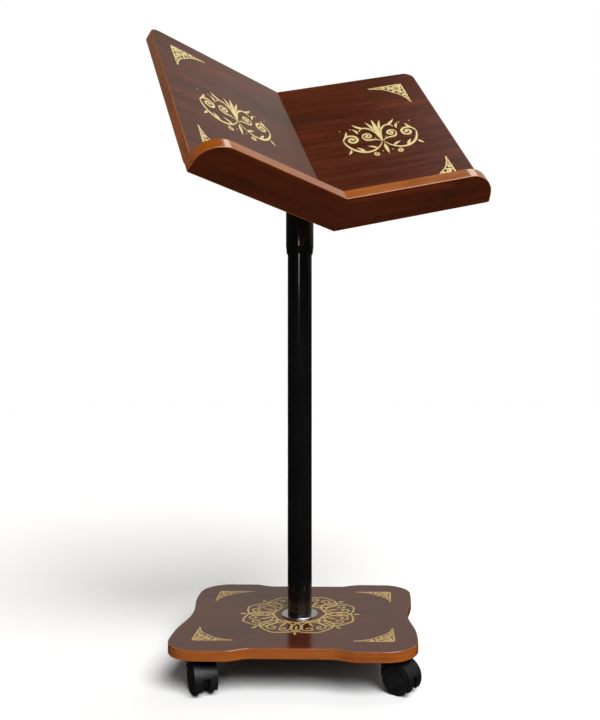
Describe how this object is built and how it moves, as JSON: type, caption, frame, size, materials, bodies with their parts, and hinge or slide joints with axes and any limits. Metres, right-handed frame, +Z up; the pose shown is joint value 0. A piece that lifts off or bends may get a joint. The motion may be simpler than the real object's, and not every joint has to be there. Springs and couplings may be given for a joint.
{
  "type": "quran stand",
  "caption": "Floor-standing book stand: tilted V-shaped reading board with a front lip on a swivelling socket, steel pole, lobed base board and twin-wheel casters.",
  "frame": {"origin": "on the floor, under the middle of the whole stand's box at rest; the pole's axis stands 33.3 mm to the left of it and 61.0 mm behind it", "axes": "+Z up, +Y towards the back of the base board, +X to the right as seen from the front"},
  "size_m": [0.5166, 0.449, 0.9675],
  "materials": {
    "mahogany_board": "gloss",
    "edge_band": "satin",
    "black_enamel": "gloss",
    "chrome_ring": "polished",
    "black_nylon": "satin",
    "natural_nylon": "satin",
    "brown_cap": "gloss",
    "beech_dowel": "matte",
    "zinc_steel": "satin",
    "gold_print": "satin"
  },
  "bodies": {
    "base": {"base_board": "mahogany_board", "base_edge_band": "edge_band", "base_ring": "chrome_ring", "pole": "black_enamel", "pole_foot_plug": "zinc_steel", "pole_bolt": "zinc_steel", "pole_washer": "zinc_steel", "pole_cap": "natural_nylon", "caster_screws": "zinc_steel", "front_left_caster_plate": "zinc_steel", "front_left_kingpin": "zinc_steel", "front_right_caster_plate": "zinc_steel", "front_right_kingpin": "zinc_steel", "rear_left_caster_plate": "zinc_steel", "rear_left_kingpin": "zinc_steel", "rear_right_caster_plate": "zinc_steel", "rear_right_kingpin": "zinc_steel"},
    "head": {"wing_left": "mahogany_board", "wing_right": "mahogany_board", "wing_band_left": "edge_band", "wing_band_right": "edge_band", "lip_left": "mahogany_board", "lip_right": "mahogany_board", "lip_band_left": "edge_band", "lip_band_right": "edge_band", "head_bracket": "black_enamel", "socket": "black_enamel", "socket_bush_lower": "natural_nylon", "socket_bush_upper": "natural_nylon", "socket_seat": "zinc_steel", "retaining_nut": "black_enamel", "retaining_screw": "zinc_steel", "bracket_screws": "zinc_steel", "lip_screws": "zinc_steel", "lip_screw_caps": "brown_cap", "spine_dowels": "beech_dowel"},
    "front_left_caster": {"front_left_hood": "black_nylon", "front_left_axle": "zinc_steel"},
    "front_left_wheel_a": {"front_left_wheel_a": "black_nylon"},
    "front_left_wheel_b": {"front_left_wheel_b": "black_nylon"},
    "front_right_caster": {"front_right_hood": "black_nylon", "front_right_axle": "zinc_steel"},
    "front_right_wheel_a": {"front_right_wheel_a": "black_nylon"},
    "front_right_wheel_b": {"front_right_wheel_b": "black_nylon"},
    "rear_left_caster": {"rear_left_hood": "black_nylon", "rear_left_axle": "zinc_steel"},
    "rear_left_wheel_a": {"rear_left_wheel_a": "black_nylon"},
    "rear_left_wheel_b": {"rear_left_wheel_b": "black_nylon"},
    "rear_right_caster": {"rear_right_hood": "black_nylon", "rear_right_axle": "zinc_steel"},
    "rear_right_wheel_a": {"rear_right_wheel_a": "black_nylon"},
    "rear_right_wheel_b": {"rear_right_wheel_b": "black_nylon"}
  },
  "joints": [
    {"name": "head_swivel", "type": "hinge", "parent": "base", "child": "head", "pos_m": [-0.0333, 0.06103, 0.738], "axis": [0, 0, 1], "continuous": true},
    {"name": "front_left_swivel", "type": "hinge", "parent": "base", "child": "front_left_caster", "pos_m": [-0.1703, -0.05697, 0.043], "axis": [0, 0, 1], "continuous": true},
    {"name": "front_left_wheel_a_roll", "type": "hinge", "parent": "front_left_caster", "child": "front_left_wheel_a", "pos_m": [-0.16091, -0.07463, 0.022], "axis": [0.8829, 0.4695, 0], "continuous": true},
    {"name": "front_left_wheel_b_roll", "type": "hinge", "parent": "front_left_caster", "child": "front_left_wheel_b", "pos_m": [-0.16091, -0.07463, 0.022], "axis": [0.8829, 0.4695, 0], "continuous": true},
    {"name": "front_right_swivel", "type": "hinge", "parent": "base", "child": "front_right_caster", "pos_m": [0.1037, -0.05697, 0.043], "axis": [0, 0, 1], "continuous": true},
    {"name": "front_right_wheel_a_roll", "type": "hinge", "parent": "front_right_caster", "child": "front_right_wheel_a", "pos_m": [0.12047, -0.06786, 0.022], "axis": [0.5446, 0.8387, 0], "continuous": true},
    {"name": "front_right_wheel_b_roll", "type": "hinge", "parent": "front_right_caster", "child": "front_right_wheel_b", "pos_m": [0.12047, -0.06786, 0.022], "axis": [0.5446, 0.8387, 0], "continuous": true},
    {"name": "rear_left_swivel", "type": "hinge", "parent": "base", "child": "rear_left_caster", "pos_m": [-0.1703, 0.17903, 0.043], "axis": [0, 0, 1], "continuous": true},
    {"name": "rear_left_wheel_a_roll", "type": "hinge", "parent": "rear_left_caster", "child": "rear_left_wheel_a", "pos_m": [-0.18726, 0.18963, 0.022], "axis": [-0.5299, -0.848, 0], "continuous": true},
    {"name": "rear_left_wheel_b_roll", "type": "hinge", "parent": "rear_left_caster", "child": "rear_left_wheel_b", "pos_m": [-0.18726, 0.18963, 0.022], "axis": [-0.5299, -0.848, 0], "continuous": true},
    {"name": "rear_right_swivel", "type": "hinge", "parent": "base", "child": "rear_right_caster", "pos_m": [0.1037, 0.17903, 0.043], "axis": [0, 0, 1], "continuous": true},
    {"name": "rear_right_wheel_a_roll", "type": "hinge", "parent": "rear_right_caster", "child": "rear_right_wheel_a", "pos_m": [0.11215, 0.19716, 0.022], "axis": [-0.9063, 0.4226, 0], "continuous": true},
    {"name": "rear_right_wheel_b_roll", "type": "hinge", "parent": "rear_right_caster", "child": "rear_right_wheel_b", "pos_m": [0.11215, 0.19716, 0.022], "axis": [-0.9063, 0.4226, 0], "continuous": true}
  ]
}
